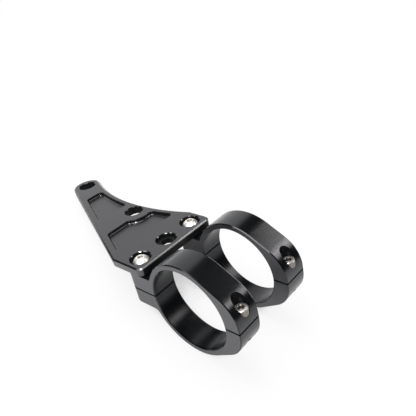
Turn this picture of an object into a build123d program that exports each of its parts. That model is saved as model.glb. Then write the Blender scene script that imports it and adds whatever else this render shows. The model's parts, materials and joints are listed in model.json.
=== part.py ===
from build123d import *
from math import acos, asin, atan2, cos, hypot, radians, sin, sqrt, tan
import os

# Headlight mounting bracket for one fork leg: an arm plate bolted on two split clamps.
# X runs along the arm, with its tip towards -X. Y is the axis of the fork tube, through
# the origin midway between the clamps. Z is square to the plate, and the plate is on top.

# Clamp rings
tube_radius = 25.0
ring_wall = 3.5
clamp_width = 16.0
clamp_spacing = 42.0
split_gap = 0.6
edge_break = 0.5

# Nose of each clamp, which the clamp screw pulls together
nose_depth = 9.5
nose_slope = 30.0
nose_round = 19.0
clamp_screw_offset = 5.9
clamp_screw_seat = 6.0

# Ear of each clamp, which carries the plate
plate_screw_offset = 15.0
seat_height = 11.0
ear_drop = 10.5
ear_root = 3.0
seat_root = 1.0

# Arm plate
plate_thickness = 5.5
plate_end_margin = 9.5
plate_side_margin = 9.0
near_side_length = 24.0
far_side_length = 21.4
plate_corner = 4.0
arm_length = 117.5
arm_rise = 27.0
tip_radius = 10.5
waist_radius = 143.0
bevel = 2.0
plate_edge_break = 0.8
rim_break = 0.5

# Pockets milled in the plate, measured along the arm from the plate screws and from the tip hole
pocket_depth = 2.4
pocket_rim = 5.0
pocket_corner = 2.5
base_pocket_start = 17.5
base_pocket_length = 23.0
tip_pocket_start = 60.0
tip_pocket_margin = 21.0
boss_radius = 12.8

# Holes in the plate
tip_hole_radius = 6.2
rib_hole_radius = 6.0
rib_hole_reach = 47.0
rib_hole_land = 0.25
recess_radius = 6.2
recess_depth = 2.2
centre_hole_radius = 3.4

# Button-head screws through the plate into the ears
plate_thread_radius = 2.5
plate_screw_length = 20.0
button_radius = 4.75
button_height = 2.75
button_rim = 0.5
button_flat_radius = 2.2
button_socket_width = 3.0
button_socket_depth = 1.6

# Cap-head screws through the noses
clamp_thread_radius = 2.0
clamp_screw_length = 12.0
cap_radius = 3.5
cap_height = 4.0
cap_edge_break = 0.4
cap_socket_width = 3.0
cap_socket_depth = 2.0

# Clearances round the screws
head_clearance = 0.4
shank_clearance = 0.25
thread_clearance = 0.05
thread_chamfer = 0.5

# Places that follow from the sizes above
ring_radius = tube_radius + ring_wall
nose_reach = tube_radius + nose_depth
screw_line = -(tube_radius + plate_screw_offset)
clamp_screw_line = tube_radius + clamp_screw_offset
stations = (-clamp_spacing / 2, clamp_spacing / 2)
plate_top = seat_height + plate_thickness
plate_end = screw_line + plate_end_margin
plate_side = clamp_spacing / 2 + plate_side_margin
recess_floor = plate_top - recess_depth
tip = (screw_line - arm_length, arm_rise)
far_bend = (plate_end - far_side_length, plate_side)
rib_hole_x = screw_line - rib_hole_reach
rib_hole_inset = waist_radius + bevel + rib_hole_land + rim_break + rib_hole_radius

# The hollow edge starts at the far bend and touches the round tip, so its centre is the third
# corner of a triangle whose sides are the two radii from it and the chord from tip to bend
chord = hypot(far_bend[0] - tip[0], far_bend[1] - tip[1])
chord_slope = atan2(far_bend[1] - tip[1], far_bend[0] - tip[0])
tip_to_centre = waist_radius + tip_radius
tip_angle = acos((tip_to_centre**2 + chord**2 - waist_radius**2) / (2 * tip_to_centre * chord))
waist_centre_x = tip[0] + tip_to_centre * cos(chord_slope + tip_angle)
waist_centre_y = tip[1] + tip_to_centre * sin(chord_slope + tip_angle)
rib_hole = (rib_hole_x, waist_centre_y - sqrt(rib_hole_inset**2 - (rib_hole_x - waist_centre_x) ** 2))

os.makedirs("parts", exist_ok=True)


def keep(piece, name):
    """Labels a finished piece and writes it to its own file."""
    piece.label = name
    export_step(piece, f"parts/{name}.step")


def clamp_blank(station):
    """One whole clamp before it is sawn in two: ring, nose and ear round the tube's bore."""
    across = Plane.XZ.offset(-station)
    flank = radians(90 - nose_slope)
    flank_top = (ring_radius * cos(flank), ring_radius * sin(flank))
    shoulder = flank_top[1] - (nose_reach - flank_top[0]) / tan(flank)
    ear_end = screw_line - clamp_width / 2
    seat_corner = (-sqrt(ring_radius**2 - seat_height**2), seat_height)
    root_corner = (-sqrt(ring_radius**2 - ear_drop**2), -ear_drop)
    with BuildPart() as blank:
        with BuildSketch(across) as profile:
            with BuildLine():
                Polyline(
                    (0, 0),
                    flank_top,
                    (nose_reach, shoulder),
                    (nose_reach, -shoulder),
                    (flank_top[0], -flank_top[1]),
                    close=True,
                )
            make_face()
            fillet(profile.vertices().group_by(Axis.X)[-1], nose_round)
            Circle(ring_radius)
            with Locations((ear_end / 2, (seat_height - ear_drop) / 2)):
                Rectangle(-ear_end, seat_height + ear_drop)
            fillet(profile.vertices().sort_by_distance(seat_corner)[0], seat_root)
            fillet(profile.vertices().sort_by_distance(root_corner)[0], ear_root)
        extrude(amount=clamp_width / 2, both=True)

        # The ear's end is rounded about the plate screw
        with BuildSketch(Plane.XY.offset(-ring_radius)):
            with Locations((screw_line - clamp_width / 4, station)):
                Rectangle(clamp_width / 2, clamp_width)
            with Locations((screw_line, station)):
                Circle(clamp_width / 2, mode=Mode.SUBTRACT)
        extrude(amount=2 * ring_radius, mode=Mode.SUBTRACT)
        sides = blank.faces().filter_by(Axis.Y)
        chamfer([edge for side in sides for edge in side.edges().sort_by(Axis.X)[1:]], edge_break)

        with BuildSketch(across):
            Circle(tube_radius)
        extrude(amount=clamp_width, both=True, mode=Mode.SUBTRACT)
        round_faces = blank.faces().filter_by(GeomType.CYLINDER)
        bore = round_faces.sort_by(lambda face: abs(face.radius - tube_radius))[0]
        chamfer(bore.edges().filter_by(GeomType.CIRCLE), edge_break)
    return blank.part


def plate_outline():
    """Outline of the plate: square base, straight edge, round tip and hollow edge back to the base."""
    near_corner = (plate_end, -plate_side)
    far_corner = (plate_end, plate_side)
    near_bend = (plate_end - near_side_length, -plate_side)
    arm_run = (tip[0] - near_bend[0], tip[1] - near_bend[1])
    edge_angle = atan2(arm_run[1], arm_run[0]) + asin(tip_radius / hypot(*arm_run))
    tip_start = (tip[0] - tip_radius * sin(edge_angle), tip[1] + tip_radius * cos(edge_angle))
    tip_end = (tip[0] - tip_radius, tip[1])
    share = tip_radius / (tip_radius + waist_radius)
    waist_start = (
        tip[0] + (waist_centre_x - tip[0]) * share,
        tip[1] + (waist_centre_y - tip[1]) * share,
    )
    waist = (waist_centre_x, waist_centre_y - waist_radius)
    with BuildSketch() as outline:
        with BuildLine():
            Polyline(far_bend, far_corner, near_corner, near_bend, tip_start)
            ThreePointArc(tip_start, tip_end, waist_start)
            ThreePointArc(waist_start, waist, far_bend)
        make_face()
        fillet(outline.vertices().group_by(Axis.X)[-1], plate_corner)
    return outline.sketch


def socket_screw(place, head_profile, head_height, socket_width, socket_depth, thread_radius, length):
    """A screw seated at place: its head is turned from half a profile, and a hex socket is cut in."""
    turned = Plane(origin=place, x_dir=(1, 0, 0), z_dir=(0, -1, 0))
    with BuildPart() as screw:
        with BuildSketch(turned):
            with BuildLine():
                head_profile()
            make_face()
        revolve(axis=Axis(place, (0, 0, 1)))
        with BuildSketch(Plane(origin=place)):
            Circle(thread_radius)
        extrude(amount=-length)
        chamfer(screw.edges().sort_by(Axis.Z)[0], thread_chamfer)
        with BuildSketch(Plane(origin=place).offset(head_height)):
            RegularPolygon(socket_width / 2, 6, major_radius=False)
        extrude(amount=-socket_depth, mode=Mode.SUBTRACT)
    return screw.part


def button_profile():
    """Half of a button head: a low rim, a dome with its centre on the axis, and a flat round the socket."""
    rim_end = (button_radius, button_rim)
    flat_end = (button_flat_radius, button_height)
    dome_rise = (hypot(*flat_end) ** 2 - hypot(*rim_end) ** 2) / (button_height - button_rim) / 2
    dome_radius = hypot(button_radius, button_rim - dome_rise)
    Polyline(flat_end, (0, button_height), (0, 0), (button_radius, 0), rim_end)
    RadiusArc(rim_end, flat_end, -dome_radius)


def cap_profile():
    """Half of a cap head: a plain cylinder with its upper edge broken."""
    Polyline(
        (0, 0),
        (cap_radius, 0),
        (cap_radius, cap_height - cap_edge_break),
        (cap_radius - cap_edge_break, cap_height),
        (0, cap_height),
        close=True,
    )


# Arm plate
outline = plate_outline()
with BuildPart() as arm_plate:
    with BuildSketch(Plane.XY.offset(seat_height)):
        add(outline)
    extrude(amount=plate_thickness)
    chamfer(arm_plate.faces().filter_by(Axis.Z).edges(), plate_edge_break)

    # The wide bevel follows the hollow edge alone and runs out at the tip and at the base
    waist_axis = Axis((waist_centre_x, waist_centre_y, plate_top), (0, 0, 1))
    with BuildSketch(Plane(origin=waist_axis.position, x_dir=(0, -1, 0), z_dir=(-1, 0, 0))):
        with BuildLine():
            Polyline(
                (waist_radius - bevel, -2 * bevel),
                (waist_radius + 2 * bevel, bevel),
                (waist_radius - bevel, bevel),
                close=True,
            )
        make_face()
    revolve(axis=waist_axis, mode=Mode.SUBTRACT)

    with BuildSketch(Plane.XY.offset(plate_top)) as pockets:
        base_pocket_middle = screw_line - base_pocket_start - base_pocket_length / 2
        tip_pocket_length = arm_length - tip_pocket_margin - tip_pocket_start
        tip_pocket_middle = screw_line - tip_pocket_start - tip_pocket_length / 2
        with Locations((base_pocket_middle, 0)):
            Rectangle(base_pocket_length, 4 * plate_side)
        with Locations((tip_pocket_middle, 0)):
            Rectangle(tip_pocket_length, 4 * plate_side)
        add(offset(outline, -pocket_rim, mode=Mode.PRIVATE), mode=Mode.INTERSECT)
        with Locations(rib_hole):
            Circle(boss_radius, mode=Mode.SUBTRACT)
        fillet(pockets.vertices(), pocket_corner)
    extrude(amount=-pocket_depth, mode=Mode.SUBTRACT)

    with Locations([(screw_line, station, plate_top) for station in stations]):
        CounterBoreHole(plate_thread_radius + shank_clearance, recess_radius, recess_depth)
    with Locations((screw_line, 0, plate_top)):
        CounterBoreHole(centre_hole_radius, recess_radius, recess_depth)
    with Locations((*rib_hole, plate_top)):
        Hole(rib_hole_radius)
    with Locations((*tip, plate_top)):
        Hole(tip_hole_radius)
    plate_face = arm_plate.faces().filter_by(Axis.Z).sort_by(Axis.Z)[-1]
    chamfer(plate_face.inner_wires().edges(), rim_break)
keep(arm_plate.part, "arm_plate")

for number, station in enumerate(stations, start=1):
    blank = clamp_blank(station)

    # Upper half of the clamp, with the plate's seat and the recess for the clamp screw's head
    with BuildPart() as clamp_body:
        add(blank)
        split(bisect_by=Plane.XY.offset(split_gap / 2), keep=Keep.TOP)
        with Locations((screw_line, station, seat_height)):
            Hole(plate_thread_radius + shank_clearance)
        with BuildSketch(Plane.XY.offset(clamp_screw_seat)):
            with Locations((clamp_screw_line, station)):
                Circle(cap_radius + head_clearance)
        extrude(amount=ring_radius, mode=Mode.SUBTRACT)
        with Locations((clamp_screw_line, station, clamp_screw_seat)):
            Hole(clamp_thread_radius + shank_clearance)
    keep(clamp_body.part, f"clamp_body_{number}")

    # Lower half of the clamp, tapped for both screws
    with BuildPart() as clamp_cap:
        add(blank)
        split(bisect_by=Plane.XY.offset(-split_gap / 2), keep=Keep.BOTTOM)
        with Locations((screw_line, station, -split_gap / 2)):
            Hole(plate_thread_radius + thread_clearance)
        with Locations((clamp_screw_line, station, -split_gap / 2)):
            Hole(clamp_thread_radius + thread_clearance)
    keep(clamp_cap.part, f"clamp_cap_{number}")

    plate_screw = socket_screw(
        (screw_line, station, recess_floor),
        button_profile,
        button_height,
        button_socket_width,
        button_socket_depth,
        plate_thread_radius,
        plate_screw_length,
    )
    keep(plate_screw, f"plate_screw_{number}")

    clamp_screw = socket_screw(
        (clamp_screw_line, station, clamp_screw_seat),
        cap_profile,
        cap_height,
        cap_socket_width,
        cap_socket_depth,
        clamp_thread_radius,
        clamp_screw_length,
    )
    keep(clamp_screw, f"clamp_screw_{number}")
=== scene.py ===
# %% [markdown]
# # A headlight bracket in black anodised aluminium
# The bracket holds a motorbike's headlight beside one fork leg. A long arm plate is
# milled from flat bar, two split rings grip the fork tube, and stainless screws hold
# it all together. The solids come from CAD and stay where they are. This lesson gives
# them smooth shading, real screws, finishes made of nodes, and a small studio.

# %% Load the frame
import json

import bmesh
import bpy
import numpy as np
from mathutils import Matrix, Vector


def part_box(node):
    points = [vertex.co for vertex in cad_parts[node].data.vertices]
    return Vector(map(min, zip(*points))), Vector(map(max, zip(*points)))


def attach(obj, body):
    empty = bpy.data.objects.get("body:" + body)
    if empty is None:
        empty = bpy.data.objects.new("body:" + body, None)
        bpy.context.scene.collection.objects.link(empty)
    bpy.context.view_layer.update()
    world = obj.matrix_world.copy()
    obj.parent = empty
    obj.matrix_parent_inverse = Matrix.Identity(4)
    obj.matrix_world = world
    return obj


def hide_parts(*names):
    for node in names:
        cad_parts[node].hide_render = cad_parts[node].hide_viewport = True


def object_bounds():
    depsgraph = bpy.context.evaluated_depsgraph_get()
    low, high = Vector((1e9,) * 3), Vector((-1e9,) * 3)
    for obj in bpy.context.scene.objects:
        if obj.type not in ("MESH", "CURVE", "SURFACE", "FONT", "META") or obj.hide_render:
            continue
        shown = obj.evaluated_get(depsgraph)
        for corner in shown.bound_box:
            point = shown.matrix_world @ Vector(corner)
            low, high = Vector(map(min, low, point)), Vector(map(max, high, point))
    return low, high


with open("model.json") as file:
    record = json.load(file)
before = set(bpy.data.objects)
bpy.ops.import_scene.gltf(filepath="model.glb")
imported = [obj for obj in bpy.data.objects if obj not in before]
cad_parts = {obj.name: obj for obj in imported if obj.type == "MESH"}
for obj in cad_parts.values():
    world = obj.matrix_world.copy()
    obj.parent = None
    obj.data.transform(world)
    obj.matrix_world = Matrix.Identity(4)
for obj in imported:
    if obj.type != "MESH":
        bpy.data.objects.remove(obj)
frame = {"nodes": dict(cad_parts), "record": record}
cad_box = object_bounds()


def in_mm(box):
    """The two corners of a box in millimetres, to a tenth."""
    return [[round(c * 1000, 1) for c in corner] for corner in box]


print("nodes:", sorted(frame["nodes"]))
print("CAD box in mm:", in_mm(cad_box))

# %% [markdown]
# ## A shorthand for shader nodes
# A finish is a small formula: grain plus cloud, times a mask. Nodes could be added and
# linked one by one, but then the formula is lost among the links. So one class wraps a
# socket. Arithmetic on it adds Math nodes, and its node method adds any other kind.
# Short functions then name the nodes that the finishes use most.

# %% Wrap a socket so that arithmetic adds Math nodes
class Wire:
    """One output socket of a shader tree, on which + - and * add Math nodes."""

    def __init__(self, tree, socket=None):
        self.tree = tree
        self.socket = socket

    def node(self, kind, settings=None, inputs=None, output=0):
        """Adds a node: its settings are set first, then its sockets are set or linked."""
        made = self.tree.nodes.new(kind)
        for name, value in (settings or {}).items():
            setattr(made, name, value)
        for name, value in (inputs or {}).items():
            if isinstance(value, Wire):
                self.tree.links.new(value.socket, made.inputs[name])
            else:
                made.inputs[name].default_value = value
        return Wire(self.tree, made.outputs[output])

    def math(self, operation, first, second=0.0):
        """A Math node on one or two numbers or wires."""
        return self.node("ShaderNodeMath", {"operation": operation}, {0: first, 1: second})

    def __add__(self, other):
        return self.math("ADD", self, other)

    def __radd__(self, other):
        return self.math("ADD", other, self)

    def __sub__(self, other):
        return self.math("SUBTRACT", self, other)

    def __rsub__(self, other):
        return self.math("SUBTRACT", other, self)

    def __mul__(self, other):
        return self.math("MULTIPLY", self, other)

    def __rmul__(self, other):
        return self.math("MULTIPLY", other, self)


print("a wire answers to + - and *")

# %% Places, and numbers that a mesh stores
def object_place(start):
    """Where a point is on the bracket, in metres."""
    return start.node("ShaderNodeTexCoord", output="Object")


def part_of(place, axis):
    """The X, Y or Z of a place."""
    return place.node("ShaderNodeSeparateXYZ", inputs={0: place}, output=axis)


def from_origin(place):
    """How far a place is from the origin."""
    return place.node("ShaderNodeVectorMath", {"operation": "LENGTH"}, {0: place}, "Value")


def stretched(place, x, y, z):
    """A place with each axis multiplied, so that noise becomes streaks."""
    return place.node("ShaderNodeVectorMath", {"operation": "MULTIPLY"}, {0: place, 1: (x, y, z)})


def stored(start, name):
    """A number that the mesh stores for its faces or points."""
    return start.node("ShaderNodeAttribute", {"attribute_name": name}, output="Fac")


print("places and stored numbers ready")

# %% Noise, steps, blends and bumps
def noise(place, scale, detail=3.0):
    """Noise of this many cells a metre, from 0 to 1."""
    return place.node("ShaderNodeTexNoise", inputs={"Vector": place, "Scale": scale, "Detail": detail})


def marks(length, scale):
    """Noise along one length only, as a cutting tool leaves lines across its path."""
    values = {"W": length, "Scale": scale, "Detail": 3.0}
    return length.node("ShaderNodeTexNoise", {"noise_dimensions": "1D"}, values)


def rise(value, low, high):
    """0 below low, 1 above high, and a smooth S between them."""
    limits = {"Value": value, "From Min": low, "From Max": high}
    return value.node("ShaderNodeMapRange", {"interpolation_type": "SMOOTHSTEP"}, limits)


def blend(mask, first, second):
    """The first colour where the mask is 0, and the second where it is 1."""
    return mask.node("ShaderNodeMix", {"data_type": "RGBA"}, {0: mask, 6: first, 7: second}, 2)


def bump(height, depth):
    """A normal from a height, whose full range is depth metres."""
    return height.node("ShaderNodeBump", inputs={"Height": height, "Distance": depth})


print("noise, steps, blends and bumps ready")

# %% Colours and materials
def grey(level, warmth=0.0):
    """A colour of this level, with more red than blue where warmth is above 0."""
    return (level * (1 + warmth), level, level * (1 - warmth), 1.0)


def new_material(name, **constants):
    """A material with its Principled shader, its constants set, and a wire to start formulas."""
    material = bpy.data.materials.new(name)
    material.use_nodes = True
    shader = material.node_tree.nodes["Principled BSDF"]
    for socket, value in constants.items():
        shader.inputs[socket.replace("_", " ")].default_value = value
    return material, shader, Wire(material.node_tree)


def feed(shader, **wires):
    """Links each wire to the shader's socket of that name, with _ for a space."""
    for socket, wire in wires.items():
        wire.tree.links.new(wire.socket, shader.inputs[socket.replace("_", " ")])


def mixed(mask, first, second):
    """The first shader where the mask is 0, and the second where it is 1."""
    return mask.node("ShaderNodeMixShader", inputs={0: mask, 1: first, 2: second})


def show(surface):
    """Makes a shader the surface of its material."""
    output = surface.tree.nodes["Material Output"]
    surface.tree.links.new(surface.socket, output.inputs["Surface"])


print("shader shorthand ready")

# %% [markdown]
# ## Smooth copies of the milled and turned pieces
# A CAD solid arrives as loose triangles, so a turned ring could mirror the studio in
# strips. The CAD meshes themselves stay untouched. A copy is welded, shaded smooth, and
# kept sharp along every real edge. An Edge Split modifier could keep the edges too, but
# it cuts the mesh apart there, and marks on the edges leave it whole.

# %% Shade smooth, and stand in for a CAD node
SHARP_ANGLE = np.radians(28)


def shade_smooth(mesh):
    """Smooth shading, with each edge that turns by more than the sharp angle kept sharp."""
    mesh.polygons.foreach_set("use_smooth", np.ones(len(mesh.polygons), dtype=bool))
    mesh.set_sharp_from_angle(angle=SHARP_ANGLE)


def stand_for(piece, node):
    """Puts a finished piece in the scene in place of a CAD node."""
    bpy.context.scene.collection.objects.link(piece)
    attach(piece, "root")
    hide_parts(node)


print("edges that turn by more than", round(np.degrees(SHARP_ANGLE)), "degrees stay sharp")

# %% Weld and smooth a copy of each CAD node
WELD_DISTANCE = 1e-6


def finished_copy(node):
    """A welded copy of a CAD node that stands in its place, smooth between sharp edges."""
    mesh = bpy.data.meshes.new(node + "_finished")
    welded = bmesh.new()
    welded.from_mesh(frame["nodes"][node].data)
    bmesh.ops.remove_doubles(welded, verts=welded.verts, dist=WELD_DISTANCE)
    welded.to_mesh(mesh)
    welded.free()
    loose_normals = mesh.attributes.get("custom_normal")
    if loose_normals:
        mesh.attributes.remove(loose_normals)
    shade_smooth(mesh)
    piece = bpy.data.objects.new(node + "_finished", mesh)
    stand_for(piece, node)
    return piece


plate = finished_copy("arm_plate")
clamps = [
    finished_copy(f"clamp_{half}_{number}")
    for half in ("body", "cap")
    for number in (1, 2)
]
print("welded points:", {piece.name: len(piece.data.vertices) for piece in [plate, *clamps]})

# %% [markdown]
# ## Which cut made which face
# A bore, a broken edge and a blasted flat are all black, but each cut leaves its own
# shine. The faces could be picked by hand, but their numbers change with every new mesh.
# So normals, heights and radii tell the cuts apart, and each face keeps the number of
# its finish.

# %% Read faces as arrays and store numbers on them
UPRIGHT, LEVEL = 0.3, 0.96
MARGIN = 0.0002


def face_arrays(mesh):
    """Centres and normals of all faces, as two arrays of rows x, y, z."""
    centres = np.empty(len(mesh.polygons) * 3)
    normals = np.empty(len(mesh.polygons) * 3)
    mesh.polygons.foreach_get("center", centres)
    mesh.polygons.foreach_get("normal", normals)
    return centres.reshape(-1, 3), normals.reshape(-1, 3)


def triangle_arrays(mesh):
    """Places of all points, and the three point numbers of each triangle."""
    places = np.empty(len(mesh.vertices) * 3)
    corners = np.empty(len(mesh.loops), dtype=np.int32)
    mesh.vertices.foreach_get("co", places)
    mesh.loops.foreach_get("vertex_index", corners)
    return places.reshape(-1, 3), corners.reshape(-1, 3)


def store(mesh, name, values):
    """Keeps one number for each face, which a material reads by its name."""
    layer = mesh.attributes.new(name, "FLOAT", "FACE")
    layer.data.foreach_set("value", np.asarray(values, dtype=np.float32))


def set_finish(mesh, numbers):
    """Gives each face the number of its finish."""
    mesh.polygons.foreach_set("material_index", np.asarray(numbers, dtype=np.int32))


def tilted(part):
    """True for a face that stands between flat and upright, which is a broken edge."""
    return (np.abs(part) > UPRIGHT) & (np.abs(part) < LEVEL)


print("a broken edge has a normal between", UPRIGHT, "and", LEVEL)

# %% Label the faces of the plate
SATIN, MILLED, SAWN = range(3)
POCKET_DEPTH, RECESS_DEPTH, LINED_DEPTH = 0.0024, 0.0022, 0.0012
RUBBED_HIGHLIGHT_REACH, HANDLED_REACH = 0.001, 0.004
FACING = 0.9
PLATE_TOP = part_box("arm_plate")[1].z
BASE_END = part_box("arm_plate")[1].x
POCKET_FLOOR = PLATE_TOP - POCKET_DEPTH
RECESS_FLOOR = PLATE_TOP - RECESS_DEPTH


def in_a_hole(centres):
    """True for a face of a hole that the record names, or of a wall that ends at a pocket's floor."""
    inside = centres[:, 2] > POCKET_FLOOR + 2 * MARGIN
    for mount in frame["record"]["mounts"]:
        if mount["kind"] == "bore":
            x, y, _ = mount["pos_m"]
            reach = mount["dims"]["r_mm"] / 1000 + MARGIN
            inside |= np.hypot(centres[:, 0] - x, centres[:, 1] - y) < reach
    return inside


centres, normals = face_arrays(plate.data)
places, corners = triangle_arrays(plate.data)
upright = np.abs(normals[:, 2]) < UPRIGHT
edge = tilted(normals[:, 2])
on_floor = np.abs(places[:, 2] - POCKET_FLOOR) < WELD_DISTANCE
foot = upright & (on_floor[corners].sum(axis=1) == 2)
foot_normals = normals[foot]
pocket_points = corners[upright & on_floor[corners].any(axis=1)]
rim = edge & np.isin(corners, pocket_points).any(axis=1)
recess = (normals[:, 2] > FACING) & (np.abs(centres[:, 2] - RECESS_FLOOR) < MARGIN / 4)
dull = rim | recess | (upright & (in_a_hole(centres) | (normals[:, 0] > FACING)))
store(plate.data, "broken_edge", edge & ~rim)
store(plate.data, "recessed", centres[:, 2] < PLATE_TOP - LINED_DEPTH)
# Painted highlight: the top edge of the base is marked for a lighter metallic grey, which also stands for
# wear.
store(plate.data, "rubbed_highlight", edge & (centres[:, 0] > BASE_END - RUBBED_HIGHLIGHT_REACH))
store(plate.data, "handled", edge & (centres[:, 0] > BASE_END - HANDLED_REACH))
set_finish(plate.data, np.select([dull, upright], [MILLED, SAWN], SATIN))
print("plate:", len(centres), "faces, and", foot.sum(), "stand on a pocket's floor")

# %% Label the faces of the clamps
TURNED, FACED, BORED, SUNK = range(4)
TUBE_RADIUS = 0.025
COUNTERBORE = 0.0039
EDGE_BREAK = 0.00055
SPLIT_GAP = 0.0006
CLAMP_SCREW_X = sum(corner.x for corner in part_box("clamp_screw_1")) / 2

for piece in clamps:
    centres, normals = face_arrays(piece.data)
    low, high = (corner.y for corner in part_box(piece.name.removesuffix("_finished")))
    from_side = np.minimum(centres[:, 1] - low, high - centres[:, 1])
    edge = tilted(normals[:, 1]) & (from_side < EDGE_BREAK)
    faced = np.abs(normals[:, 1]) > LEVEL
    bored = np.hypot(centres[:, 0], centres[:, 2]) < TUBE_RADIUS + MARGIN
    sawn = (np.abs(normals[:, 2]) > LEVEL) & (np.abs(centres[:, 2]) < SPLIT_GAP)
    to_screw = np.array([CLAMP_SCREW_X, (low + high) / 2]) - centres[:, :2]
    near_screw = np.hypot(*to_screw.T) < COUNTERBORE + MARGIN
    faces_screw = (np.abs(normals[:, 2]) < UPRIGHT) & ((normals[:, :2] * to_screw).sum(axis=1) > 0)
    sunk = near_screw & (faces_screw | (normals[:, 2] > LEVEL))
    cuts = [edge, sunk | sawn, bored, faced]
    store(piece.data, "broken_edge", edge)
    set_finish(piece.data, np.select(cuts, [TURNED, SUNK, BORED, FACED], TURNED))

print("clamps:", [len(piece.data.polygons) for piece in clamps], "faces")

# %% [markdown]
# ## Round feet in the pockets
# The pockets are milled with a cutter whose corners are round, so each wall meets the
# floor in a small curve, and that curve mirrors the lamps as a thin bright line. The
# edges could be bevelled, but a strip is surer on CAD triangles: a quarter circle is
# carried along the foot of the walls and joined to the plate's copy.

# %% Carry a quarter circle along the foot of the pocket walls
FOOT_RADIUS = 0.001
FOOT_ROWS = 7


def foot_strip(places, edges, wall_normals):
    """A quarter circle carried along edges, from the floor up to the wall.

    It stands off the foot by the radius times one less the sine of t, and rises by the radius
    times one less the cosine of t. The wall's normals at an edge's ends point into the pocket.
    """
    inward = np.zeros_like(places)
    np.add.at(inward, edges, wall_normals[:, None, :])
    used, ends = np.unique(edges, return_inverse=True)
    inward = inward[used] / np.linalg.norm(inward[used], axis=1)[:, None]
    t = np.linspace(0, np.pi / 2, FOOT_ROWS)[:, None, None]
    off = (1 - np.sin(t)) * inward
    up = (1 - np.cos(t)) * np.array([0, 0, 1])
    grid = places[used] + FOOT_RADIUS * (off + up)
    first, last = ends.reshape(-1, 2).T
    run = places[used][last] - places[used][first]
    turned = run[:, 0] * inward[first, 1] > run[:, 1] * inward[first, 0]
    first, last = np.where(turned, last, first), np.where(turned, first, last)
    here = np.arange(FOOT_ROWS - 1)[:, None] * len(used)
    above = here + len(used)
    quads = np.stack([here + first, here + last, above + last, above + first], axis=2)
    return grid.reshape(-1, 3), quads.reshape(-1, 4)


feet = corners[foot][on_floor[corners[foot]]].reshape(-1, 2)
points, quads = foot_strip(places, feet, foot_normals)
print("the strip follows", len(feet), "edges")

# %% Join the strip to the plate
def join_strip(mesh, points, quads):
    """Adds the strip to a mesh, with its faces marked as broken edges."""
    strip = bpy.data.meshes.new("strip")
    strip.from_pydata(points.tolist(), [], quads.tolist())
    plain = len(mesh.polygons)
    joined = bmesh.new()
    joined.from_mesh(mesh)
    joined.from_mesh(strip)
    joined.to_mesh(mesh)
    joined.free()
    bpy.data.meshes.remove(strip)
    broken = np.empty(len(mesh.polygons), dtype=np.float32)
    mesh.attributes["broken_edge"].data.foreach_get("value", broken)
    broken[plain:] = 1
    mesh.attributes["broken_edge"].data.foreach_set("value", broken)
    shade_smooth(mesh)


join_strip(plate.data, points, quads)
print("the strip adds", len(quads), "faces to the plate")

# %% [markdown]
# ## Stainless screws
# Two button-head screws hold the plate and two cap-head screws close the rings. Each is
# turned, so it could be a spun profile, but its hex socket and its thread aren't round.
# One grid takes all: every row is a ring whose radius is a function of the angle. Rows
# in the socket follow a hexagon, rows on a cap's side are knurled, and rows on the shank
# follow a helix.

# %% Rows of radius and height for a socket
STEPS = 72
SOCKET_WIDTH = 0.003
MOUTH_FLARE, MOUTH_SLOPE = 1.04, 0.7
DRILLED_SHARE, DRILL_POINT = 0.6, 0.0003
WALL_TAPER = 0.985
angles = np.arange(STEPS) * 2 * np.pi / STEPS


def rows(radii, heights):
    """Rows of a turned surface: a radius and a height for each row, or for each row and angle."""
    radii, heights = (np.atleast_2d(np.asarray(part, float).T).T for part in (radii, heights))
    return np.stack(np.broadcast_arrays(radii, heights, np.zeros((1, STEPS)))[:2], axis=2)


def socket_rows(top, depth):
    """A hex socket from its middle to its mouth.

    The radius of a hexagon is half its width over the cosine of the angle to the nearest flat.
    The mouth is a cone, so its lower edge rises where the hexagon's corners reach out.
    """
    to_flat = (angles + np.pi / 6) % (np.pi / 3) - np.pi / 6
    flats = SOCKET_WIDTH / 2 / np.cos(to_flat)
    mouth = flats.max() * MOUTH_FLARE
    bottom = top - depth
    drilled = rows([0, DRILLED_SHARE * SOCKET_WIDTH / 2], [bottom - DRILL_POINT, bottom])
    cone = top - (mouth - flats) * MOUTH_SLOPE
    walls = rows([flats * WALL_TAPER, flats], [np.full(STEPS, bottom), cone])
    return np.concatenate([drilled, walls, rows([mouth], [top])])


print("a socket is", SOCKET_WIDTH * 1000, "mm wide, and a screw's row has", STEPS, "points")

# %% Rows of radius and height for a threaded shank
THREAD_DEPTH = 0.6
ROWS_A_PITCH = 8
FLANK_SLOPE, FLAT_CREST = 1.3, 0.15
LEAD_IN = 0.1


def shank_rows(top, bottom, radius, pitch):
    """A threaded shank: the radius falls by a clipped triangle wave of height less turn.

    The wave's depth fades out over the last pitch, so that the thread runs into a chamfer.
    """
    heights = np.linspace(top, bottom, int((top - bottom) / pitch * ROWS_A_PITCH))[:, None]
    turn = (heights / pitch - angles / (2 * np.pi)) % 1.0
    wave = np.clip(np.abs(2 * turn - 1) * FLANK_SLOPE - FLAT_CREST, 0, 1)
    lead = np.clip((heights - bottom) / pitch + LEAD_IN, 0, 1)
    return rows(radius - THREAD_DEPTH * pitch * (1 - wave * lead), np.broadcast_to(heights, turn.shape))


print("a thread has", ROWS_A_PITCH, "rows a pitch")

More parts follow.
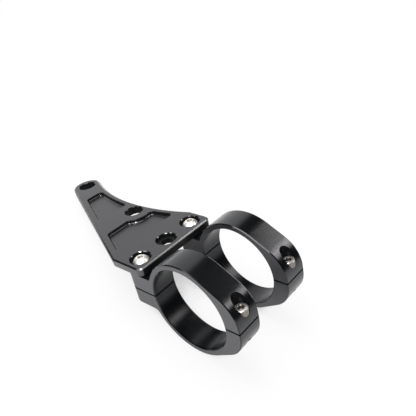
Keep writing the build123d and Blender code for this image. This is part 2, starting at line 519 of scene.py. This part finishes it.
# %% Close the rows into a mesh
def turned_piece(name, grid, axis):
    """A closed piece from rows that start and end on the axis, with each point's reach stored."""
    reach, height = grid[1:-1, :, 0], grid[1:-1, :, 1]
    around = np.stack([axis.x + reach * np.cos(angles), axis.y + reach * np.sin(angles), height], axis=2)
    poles = [[axis.x, axis.y, grid[0, 0, 1]], [axis.x, axis.y, grid[-1, 0, 1]]]
    points = np.concatenate([around.reshape(-1, 3), poles])
    here = np.arange(reach.size).reshape(reach.shape)
    beside = np.roll(here, -1, axis=1)
    quads = np.stack([here[:-1], here[1:], beside[1:], beside[:-1]], axis=2).reshape(-1, 4)
    first = np.stack([np.full(STEPS, reach.size), here[0], beside[0]], axis=1)
    last = np.stack([np.full(STEPS, reach.size + 1), beside[-1], here[-1]], axis=1)
    mesh = bpy.data.meshes.new(name)
    mesh.from_pydata(points.tolist(), [], first.tolist() + quads.tolist() + last.tolist())
    shade_smooth(mesh)
    layer = mesh.attributes.new("reach", "FLOAT", "POINT")
    layer.data.foreach_set("value", np.append(reach.ravel(), [0, 0]).astype(np.float32))
    return bpy.data.objects.new(name, mesh)


print("ready to close the rows of a screw")

# %% Put a screw together in place of its CAD node
NECK = 0.0003
SOCKET_REACH = 0.00185
SHADED_FROM, SHADED_TO = 0.00005, 0.003


def store_painted_shade(piece, axis, top, in_socket, on_side):
    """Stores how much painted shade darkens the faces, down in the socket and on the upright side."""
    centres, normals = face_arrays(piece.data)
    reach = np.hypot(centres[:, 0] - axis.x, centres[:, 1] - axis.y)
    head = (centres[:, 2] < top - SHADED_FROM) & (centres[:, 2] > top - SHADED_TO)
    socket = head & (reach < SOCKET_REACH)
    side = head & ~socket & (np.abs(normals[:, 2]) < UPRIGHT)
    # Painted shade: a share of darkening for the socket and for the head's upright side.
    store(piece.data, "painted_shade", in_socket * socket + on_side * side)


def turned_screw(node, socket_depth, head_height, head_rows, thread, pitch, in_socket, on_side):
    """A screw on the axis of its CAD node, from the socket over the head to the end of the shank."""
    low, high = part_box(node)
    axis, top, bottom = (low + high) / 2, high.z, low.z
    seat = top - head_height
    grid = np.concatenate([
        socket_rows(top, socket_depth),
        head_rows(top),
        rows([thread], [seat]),
        shank_rows(seat - NECK, bottom, thread, pitch),
        rows([0], [bottom]),
    ])
    piece = turned_piece(node + "_turned", grid, axis)
    store_painted_shade(piece, axis, top, in_socket, on_side)
    stand_for(piece, node)
    return piece


print("ready to turn screws")

# %% Button-head screws of the plate
BUTTON_RADIUS, BUTTON_HEIGHT, BUTTON_RIM, BUTTON_FLAT = 0.00475, 0.00275, 0.0005, 0.0022
DOME_ROWS, DOME_SHARE = 14, 0.99
UNDER_BREAK = 0.0002
BUTTON_SOCKET = 0.0016
PLATE_THREAD, PLATE_PITCH = 0.0025, 0.0008


def button_head_rows(top):
    """A button head: a dome that is part of a sphere about the axis, over a low rim."""
    seat = top - BUTTON_HEIGHT
    lift = BUTTON_FLAT**2 + BUTTON_HEIGHT**2 - BUTTON_RADIUS**2 - BUTTON_RIM**2
    lift = lift / (BUTTON_HEIGHT - BUTTON_RIM) / 2
    sphere = np.hypot(BUTTON_RADIUS, BUTTON_RIM - lift)
    reach = np.linspace(BUTTON_FLAT, BUTTON_RADIUS * DOME_SHARE, DOME_ROWS)
    dome = rows(reach, seat + lift + np.sqrt(sphere**2 - reach**2))
    edge = rows(
        [BUTTON_RADIUS, BUTTON_RADIUS, BUTTON_RADIUS - UNDER_BREAK],
        [seat + BUTTON_RIM - UNDER_BREAK / 2, seat + UNDER_BREAK, seat],
    )
    return np.concatenate([dome, edge])


button_build = (BUTTON_SOCKET, BUTTON_HEIGHT, button_head_rows, PLATE_THREAD, PLATE_PITCH)
buttons = [
    turned_screw(f"plate_screw_{number}", *button_build, in_socket=0.5, on_side=0.0)
    for number in (1, 2)
]
print("button-head screws:", [len(piece.data.polygons) for piece in buttons], "faces")

# %% Cap-head screws of the clamps
CAP_RADIUS, CAP_HEIGHT, CAP_EDGE, KNURL = 0.0035, 0.004, 0.0004, 0.00015
EDGE_ROWS = 7
CAP_SOCKET = 0.002
CLAMP_THREAD, CLAMP_PITCH = 0.002, 0.0007


def cap_head_rows(top):
    """A cap head: a rounded edge that is a quarter circle, and a side knurled at every other step."""
    seat = top - CAP_HEIGHT
    sweep = np.linspace(0, np.pi / 2, EDGE_ROWS)
    reach = CAP_RADIUS - CAP_EDGE + CAP_EDGE * np.sin(sweep)
    edge = rows(reach, top - CAP_EDGE + CAP_EDGE * np.cos(sweep))
    knurl = CAP_RADIUS - KNURL * (np.arange(STEPS) % 2)
    ends = [np.full(STEPS, top - CAP_EDGE - KNURL), np.full(STEPS, seat + UNDER_BREAK)]
    return np.concatenate([edge, rows([knurl, knurl], ends), rows([CAP_RADIUS - UNDER_BREAK], [seat])])


cap_build = (CAP_SOCKET, CAP_HEIGHT, cap_head_rows, CLAMP_THREAD, CLAMP_PITCH)
caps = [
    turned_screw(f"clamp_screw_{number}", *cap_build, in_socket=0.95, on_side=0.86)
    for number in (1, 2)
]
print("cap-head screws:", [len(piece.data.polygons) for piece in caps], "faces")

# %% [markdown]
# ## Black anodising
# Anodising grows a hard clear skin on aluminium, and black dye fills its pores. The
# metal under it is blasted first, so a flat looks like fine satin: nearly black from
# the front, and grey where it mirrors something white at a slant. The colour could be
# a mid grey, but then the part would look grey from every side. So it stays very dark,
# the grey comes from gloss, and fine grain roughens both. Broken edges keep the cutter's
# polish and walls in holes are dull. The top edge of the plate's base is painted a
# lighter metallic grey: a painted highlight, and partly bare metal rubbed by handling.
# Along the split of the clamps a dull near-black is painted in: painted shade of the gap.

# %% Grain and gloss that all the blacks share
GRAINS, CLOUDS = 3000, 40
POLISHED = 0.14
DYE_TINT = (0.94, 0.94, 1.0, 1.0)


def grained(start):
    """Fine blast grain of a third of a millimetre, slow clouds of a few centimetres, and the place."""
    place = object_place(start)
    return noise(place, GRAINS, 4.0), noise(place, CLOUDS), place


def black_material(name, gloss, index):
    """A material whose shine has the cool tint of the dye."""
    return new_material(name, Specular_IOR_Level=gloss, IOR=index, Specular_Tint=DYE_TINT)


print("broken edges have a roughness of", POLISHED)

# %% Satin black for the arm plate
PLATE_DYE = (grey(0.008, -0.05), grey(0.014, -0.05))
RUBBED_HIGHLIGHT_GREY, RUBBED_HIGHLIGHT_METAL = grey(0.26), 0.6
RUBBED_HIGHLIGHT_HEIGHTS = (PLATE_TOP - 0.0006, PLATE_TOP - 0.0003)
HANDLED = 0.22
BLASTED, GRAIN_SPREAD, CLOUD_SPREAD = 0.33, 0.16, 0.08
MILLING_RUN, MILLING_LINES = (1, 0.12, 1), 2500
MILLING_DEPTH, BLAST_DEPTH = 0.6, 0.00003


def plate_finish(name, gloss, index=1.5):
    """Satin black: gloss from blast grain, a painted highlight on the base's rubbed edge, and milling
    lines in the pockets.
    """
    material, shader, start = black_material(name, gloss, index)
    grain, cloud, place = grained(start)
    edge = stored(start, "broken_edge")
    # Painted highlight, partly rubbed wear: on the base's top edge the colour turns a lighter grey and
    # partly metal.
    rubbed_highlight = stored(start, "rubbed_highlight") * rise(part_of(place, "Z"), *RUBBED_HIGHLIGHT_HEIGHTS)
    milled = stored(start, "recessed") * noise(stretched(place, *MILLING_RUN), MILLING_LINES, 2.0)
    blasted = BLASTED + (grain - 0.5) * GRAIN_SPREAD + (cloud - 0.5) * CLOUD_SPREAD
    feed(
        shader,
        Base_Color=blend(rubbed_highlight, blend(cloud, *PLATE_DYE), RUBBED_HIGHLIGHT_GREY),
        Metallic=rubbed_highlight * RUBBED_HIGHLIGHT_METAL,
        Roughness=blasted * (1 - edge) + edge * POLISHED + stored(start, "handled") * HANDLED,
        Normal=bump((grain + milled * MILLING_DEPTH) * (1 - edge), BLAST_DEPTH),
    )
    return material


plate_blacks = {
    SATIN: plate_finish("satin_black", gloss=0.85),
    MILLED: plate_finish("milled_black", gloss=0.1),
    SAWN: plate_finish("sawn_black", gloss=1.0, index=1.6),
}
for number in sorted(plate_blacks):
    plate.data.materials.append(plate_blacks[number])
print("plate finishes:", [finish.name for finish in plate.data.materials])

# %% Four cuts of black for the clamps
CLAMP_DYE = (grey(0.003, -0.2), grey(0.006, -0.2))
SPLIT_SHADE = grey(0.005)
SPLIT_SHADE_EDGE = (0.00043, 0.00062)
FINE_LINES, COARSE_LINES = 4500, 1300
LINE_SPREAD, TOOL_SPREAD = 0.2, 0.1
GRAIN_SHARE, LINE_SHARE, TOOL_DEPTH = 0.6, 0.5, 0.00002


def clamp_finish(name, gloss, roughness, index=1.5, faced=False):
    """Black over a tool's lines, and painted shade along the split: a dull near-black where the gap is
    dark.

    The lines are noise of the distance from the axis on a faced side, and of Y elsewhere.
    """
    material, shader, start = black_material(name, gloss, index)
    grain, cloud, place = grained(start)
    edge = stored(start, "broken_edge")
    across = from_origin(stretched(place, 1, 0, 1)) if faced else part_of(place, "Y")
    lines = (marks(across, FINE_LINES) + marks(across, COARSE_LINES)) * 0.5
    tooled = roughness + (grain - 0.5) * TOOL_SPREAD + (lines - 0.5) * LINE_SPREAD
    feed(
        shader,
        Base_Color=blend(cloud, *CLAMP_DYE),
        Roughness=tooled * (1 - edge) + edge * POLISHED,
        Normal=bump((grain * GRAIN_SHARE + lines * LINE_SHARE) * (1 - edge), TOOL_DEPTH),
    )
    # Painted shade: within about half a millimetre of the split, the shader turns to a dull near-black
    # diffuse.
    unshaded = rise(start.math("ABSOLUTE", part_of(place, "Z")), *SPLIT_SHADE_EDGE)
    painted_shade = start.node("ShaderNodeBsdfDiffuse", inputs={"Color": SPLIT_SHADE})
    show(mixed(unshaded, painted_shade, Wire(start.tree, shader.outputs[0])))
    return material


clamp_blacks = {
    TURNED: clamp_finish("turned_black", gloss=0.6, roughness=0.2),
    FACED: clamp_finish("faced_black", gloss=1.0, roughness=0.33, index=1.6, faced=True),
    BORED: clamp_finish("bored_black", gloss=0.38, roughness=0.24),
    SUNK: clamp_finish("sunk_black", gloss=0.08, roughness=0.4),
}
for piece in clamps:
    for number in sorted(clamp_blacks):
        piece.data.materials.append(clamp_blacks[number])
print("clamp finishes:", [finish.name for finish in clamps[0].data.materials])

# %% [markdown]
# ## Bright stainless steel
# The screws are the only bright pieces. Stainless mirrors the whole studio, so its
# colour hardly varies, and its look comes from fine rings left by the lathe. One finish
# could do for all four, but the cap heads are polished more than the button heads, and
# their steel is a darker grey: painted shade of the deep counterbores they sit in. In
# the sockets and on the knurled sides of the cap heads, a dark warm grey is painted in
# as shade, which takes the shine away.

# %% Stainless for the screws
STEEL_METAL, STEEL_WARMTH, STEEL_SPREAD = 0.85, 0.03, 0.07
STEEL_SHADE = grey(0.15, 0.15)
SMUDGES, SMUDGE_ROUGH = 400, 0.1
RINGS, RING_ROUGH, RING_DEPTH = 7000, 0.06, 0.000006


def steel_finish(name, level, roughness):
    """Turned stainless: fine rings about the axis, and painted warm shade in the socket and on a cap's
    side.
    """
    material, shader, start = new_material(name, Metallic=STEEL_METAL)
    smudge = noise(object_place(start), SMUDGES)
    rings = marks(stored(start, "reach"), RINGS)
    steel = blend(smudge, grey(level, STEEL_WARMTH), grey(level + STEEL_SPREAD, STEEL_WARMTH))
    feed(
        shader,
        # Painted shade: the socket and a cap's side are blended towards a dark warm grey.
        Base_Color=blend(stored(start, "painted_shade"), steel, STEEL_SHADE),
        Roughness=roughness + smudge * SMUDGE_ROUGH + rings * RING_ROUGH,
        Normal=bump(rings, RING_DEPTH),
    )
    return material


button_steel = steel_finish("brushed_stainless", level=0.88, roughness=0.32)
# Painted shade: the cap heads' steel is a darker grey than the buttons', for the deep counterbores they
# sit in.
cap_steel = steel_finish("polished_stainless", level=0.7, roughness=0.16)
for pieces, steel in ((buttons, button_steel), (caps, cap_steel)):
    for piece in pieces:
        piece.data.materials.append(steel)
print("screw finishes:", [piece.data.materials[0].name for piece in buttons + caps])

# %% [markdown]
# ## The studio
# Product pictures of black parts are made in white surroundings, because a black part
# shows only what it mirrors. The floor and the world are white to the camera and in
# reflections, and the floor keeps the bracket's shadow, deepest where little sky is
# open above it. A black card stands round most of the studio, seen by reflections only,
# and gives the turned rings their dark bands. It could go all the way round, but a gap
# leaves the white that turns the plate's top grey. One soft lamp lights everything from
# above, and smaller ones that only gloss shows add the glints.

# %% White world
AMBIENT = 0.9
scene = bpy.context.scene
scene.view_settings.view_transform = "Standard"


def seen(start, mirrored=1.0):
    """1 for what the camera sees directly or through glass, mirrored for what gloss shows, else 0."""
    camera, glossy, glass = (
        start.node("ShaderNodeLightPath", output=f"Is {kind} Ray")
        for kind in ("Camera", "Glossy", "Transmission")
    )
    direct = start.math("MAXIMUM", camera, glass)
    return start.math("MAXIMUM", direct, glossy * mirrored)


world = bpy.data.worlds.new("white_studio")
scene.world = world
world.use_nodes = True
sky = world.node_tree.nodes["Background"]
feed(sky, Color=blend(seen(Wire(world.node_tree)), grey(AMBIENT), grey(1.0)))
print("world: white where it is seen, and", AMBIENT, "as light")

# %% A floor that touches the rings and the arm's tip
RING_RADIUS = -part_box("clamp_cap_1")[0].z
FLOOR_REACH = 6.0
STEEPEST, SLOPES = 25, 2501


def lean(places):
    """The floor's slope: the first at which the lowest place is a ring's radius below the axis."""
    x, _, z = places.T
    slopes = np.radians(np.linspace(0, STEEPEST, SLOPES))[:, None]
    lowest = (x * np.sin(slopes) + z * np.cos(slopes)).min(axis=1)
    return float(slopes[np.argmax(lowest < -RING_RADIUS), 0])


slope = lean(places)
floor_corners = np.array([(-1, -1, 0), (1, -1, 0), (1, 1, 0), (-1, 1, 0)]) * FLOOR_REACH
floor_corners[:, 2] = -RING_RADIUS
tip_over = np.array(Matrix.Rotation(slope, 3, "Y"))
floor_mesh = bpy.data.meshes.new("floor")
floor_mesh.from_pydata((floor_corners @ tip_over.T).tolist(), [], [(0, 1, 2, 3)])
floor = bpy.data.objects.new("floor", floor_mesh)
scene.collection.objects.link(floor)
print("floor leans by", round(np.degrees(slope), 2), "degrees")

# %% White paper on the floor
FLOOR_GLOW, MIRRORED_GLOW = 0.85, 0.12
PAPER, SHADED_PAPER = (grey(0.86), grey(0.9)), grey(0.3)
PAPER_GRAIN, PAPER_ROUGH = 300, 0.9
SHADE_REACH = 0.1
OPEN_SKY = (0.12, 0.34)
FAR_OFF = (0.2, 0.8)


def floor_finish():
    """White paper, clear from below, painted a darker grey where little sky is open above it, that glows
    where it is seen: fully far off, and not in deep shade.
    """
    material, shader, start = new_material("white_paper", Roughness=PAPER_ROUGH)
    place = object_place(start)
    above = start.node("ShaderNodeAmbientOcclusion", inputs={"Distance": SHADE_REACH}, output="AO")
    free = rise(above, *OPEN_SKY)
    # Painted shade: where little sky is open above, the paper's colour turns to a darker grey.
    feed(shader, Base_Color=blend(free, SHADED_PAPER, blend(noise(place, PAPER_GRAIN), *PAPER)))
    far = rise(from_origin(place), *FAR_OFF)
    shown = seen(start, MIRRORED_GLOW) * free * (FLOOR_GLOW + (1 - FLOOR_GLOW) * far)
    glow = start.node("ShaderNodeEmission", inputs={"Color": grey(1.0), "Strength": 1.0})
    lit = mixed(shown, Wire(start.tree, shader.outputs[0]), glow)
    below = start.node("ShaderNodeNewGeometry", output="Backfacing")
    show(mixed(below, lit, start.node("ShaderNodeBsdfTransparent")))
    return material


floor_mesh.materials.append(floor_finish())
print("floor finish:", floor_mesh.materials[0].name)

# %% A patch of a dome for a black card
DOME = 1.2
CARD_COLUMNS, CARD_LEVELS = 121, 33
CARD_COMPASS, CARD_HEIGHT = (-85, 217), (-20, 86)


def direction(compass, height):
    """The way from the bracket towards a compass angle and a height, in degrees."""
    a, e = np.radians(compass), np.radians(height)
    return np.stack([np.sin(a) * np.cos(e), -np.cos(a) * np.cos(e), np.sin(e)], axis=-1)


def card_mesh(name, compass, height):
    """A patch of a dome: rows of equal height angle, columns of equal compass angle.

    Each point stores its inset, which is the least angle from it to the patch's rim.
    """
    a, e = np.meshgrid(np.linspace(*compass, CARD_COLUMNS), np.linspace(*height, CARD_LEVELS))
    points = direction(a, e).reshape(-1, 3) * DOME
    here = np.arange(a.size).reshape(a.shape)
    quads = np.stack([here[:-1, :-1], here[:-1, 1:], here[1:, 1:], here[1:, :-1]], axis=2)
    mesh = bpy.data.meshes.new(name)
    mesh.from_pydata(points.tolist(), [], quads.reshape(-1, 4).tolist())
    inset = np.min([a - compass[0], compass[1] - a, e - height[0], height[1] - e], axis=0)
    layer = mesh.attributes.new("inset", "FLOAT", "POINT")
    layer.data.foreach_set("value", inset.ravel().astype(np.float32))
    return mesh


card = bpy.data.objects.new("card_round", card_mesh("card_round", CARD_COMPASS, CARD_HEIGHT))
scene.collection.objects.link(card)
print("card:", len(card.data.polygons), "faces, from compass", *CARD_COMPASS)

# %% Show the card to reflections only
CARD_BLACK = grey(0.005)
SOFT_RIM = 14.0
HIDDEN_FROM = ("camera", "diffuse", "transmission", "volume_scatter", "shadow")


def card_finish():
    """Black in the middle of a card, and clear at its rim, so that reflections fade softly."""
    material, _, start = new_material("black_card")
    solid = rise(stored(start, "inset"), 0.0, SOFT_RIM)
    black = start.node("ShaderNodeEmission", inputs={"Color": CARD_BLACK, "Strength": 1.0})
    show(mixed(solid, start.node("ShaderNodeBsdfTransparent"), black))
    return material


card.data.materials.append(card_finish())
for kind in HIDDEN_FROM:
    setattr(card, "visible_" + kind, False)
print("the card fades over", SOFT_RIM, "degrees at its rim")

# %% Soft lamps
WARM = (1.0, 0.97, 0.94)
LAMP_DISTANCE = 0.8
RING_MIDDLE, RING_TOP = (0, 0.01, 0.01), (0, 0, 0.02)
SHOULDER, BEND = (0.015, 0.021, 0.02), (0.015, 0.021, 0.01)


def soft_lamp(name, aim, compass, height, size, power):
    """An oblong lamp that faces a point of the bracket from a compass angle and a height."""
    light = bpy.data.lights.new(name, "AREA")
    light.shape = "RECTANGLE"
    light.size, light.size_y = size
    light.energy = power
    lamp = bpy.data.objects.new(name, light)
    way = Vector(direction(compass, height))
    facing = way.to_track_quat("Z", "Y").to_matrix().to_4x4()
    lamp.matrix_world = Matrix.Translation(Vector(aim) + way * LAMP_DISTANCE) @ facing
    lamp.visible_camera = False
    scene.collection.objects.link(lamp)
    return lamp


middle = (cad_box[0] + cad_box[1]) / 2
soft_lamp("lamp_over", middle, compass=0, height=89, size=(0.5, 0.5), power=3.0)
glints = [
    soft_lamp("lamp_strip", RING_MIDDLE, compass=131, height=33, size=(0.36, 0.2), power=1.1),
    soft_lamp("lamp_shoulder", SHOULDER, compass=163, height=44, size=(0.24, 0.1), power=0.25),
    soft_lamp("lamp_bend", BEND, compass=149, height=40, size=(0.2, 0.12), power=0.5),
    soft_lamp("lamp_front", RING_TOP, compass=352, height=44, size=(0.64, 0.17), power=2.0),
    soft_lamp("lamp_spark", middle, compass=42, height=53, size=(0.14, 0.12), power=8.0),
]
for lamp in glints:
    lamp.visible_diffuse = False
    lamp.data.color = WARM
print("one lamp from above, and", len(glints), "for glints")

# %% [markdown]
# ## The camera
# The picture is taken from in front of the clamps, a little above, and with the camera
# tipped, since the bracket lies on its rings and on the arm's tip. The place could be
# set by eye, but fitting a pinhole camera to the bracket's holes, rings and corners gives
# the place and the lens together.

# %% Set the camera
IMAGE_WIDTH = 416
FOCAL_PIXELS = 473
SENSOR = 36.0
CAMERA_PLACE = (0.15465, -0.14435, 0.16154)
CAMERA_SWING, CAMERA_DOWN, CAMERA_ROLL = np.radians([46.76, 28.56, -12.44])
CLIP = (0.01, 20.0)

lens = bpy.data.cameras.new("camera")
lens.sensor_width = SENSOR
lens.lens = FOCAL_PIXELS / IMAGE_WIDTH * SENSOR
lens.clip_start, lens.clip_end = CLIP
camera = bpy.data.objects.new("camera", lens)
turn = (
    Matrix.Rotation(CAMERA_SWING, 4, "Z")
    @ Matrix.Rotation(np.pi / 2 - CAMERA_DOWN, 4, "X")
    @ Matrix.Rotation(CAMERA_ROLL, 4, "Z")
)
camera.matrix_world = Matrix.Translation(CAMERA_PLACE) @ turn
scene.collection.objects.link(camera)
scene.camera = camera
print("lens:", round(lens.lens, 2), "mm")
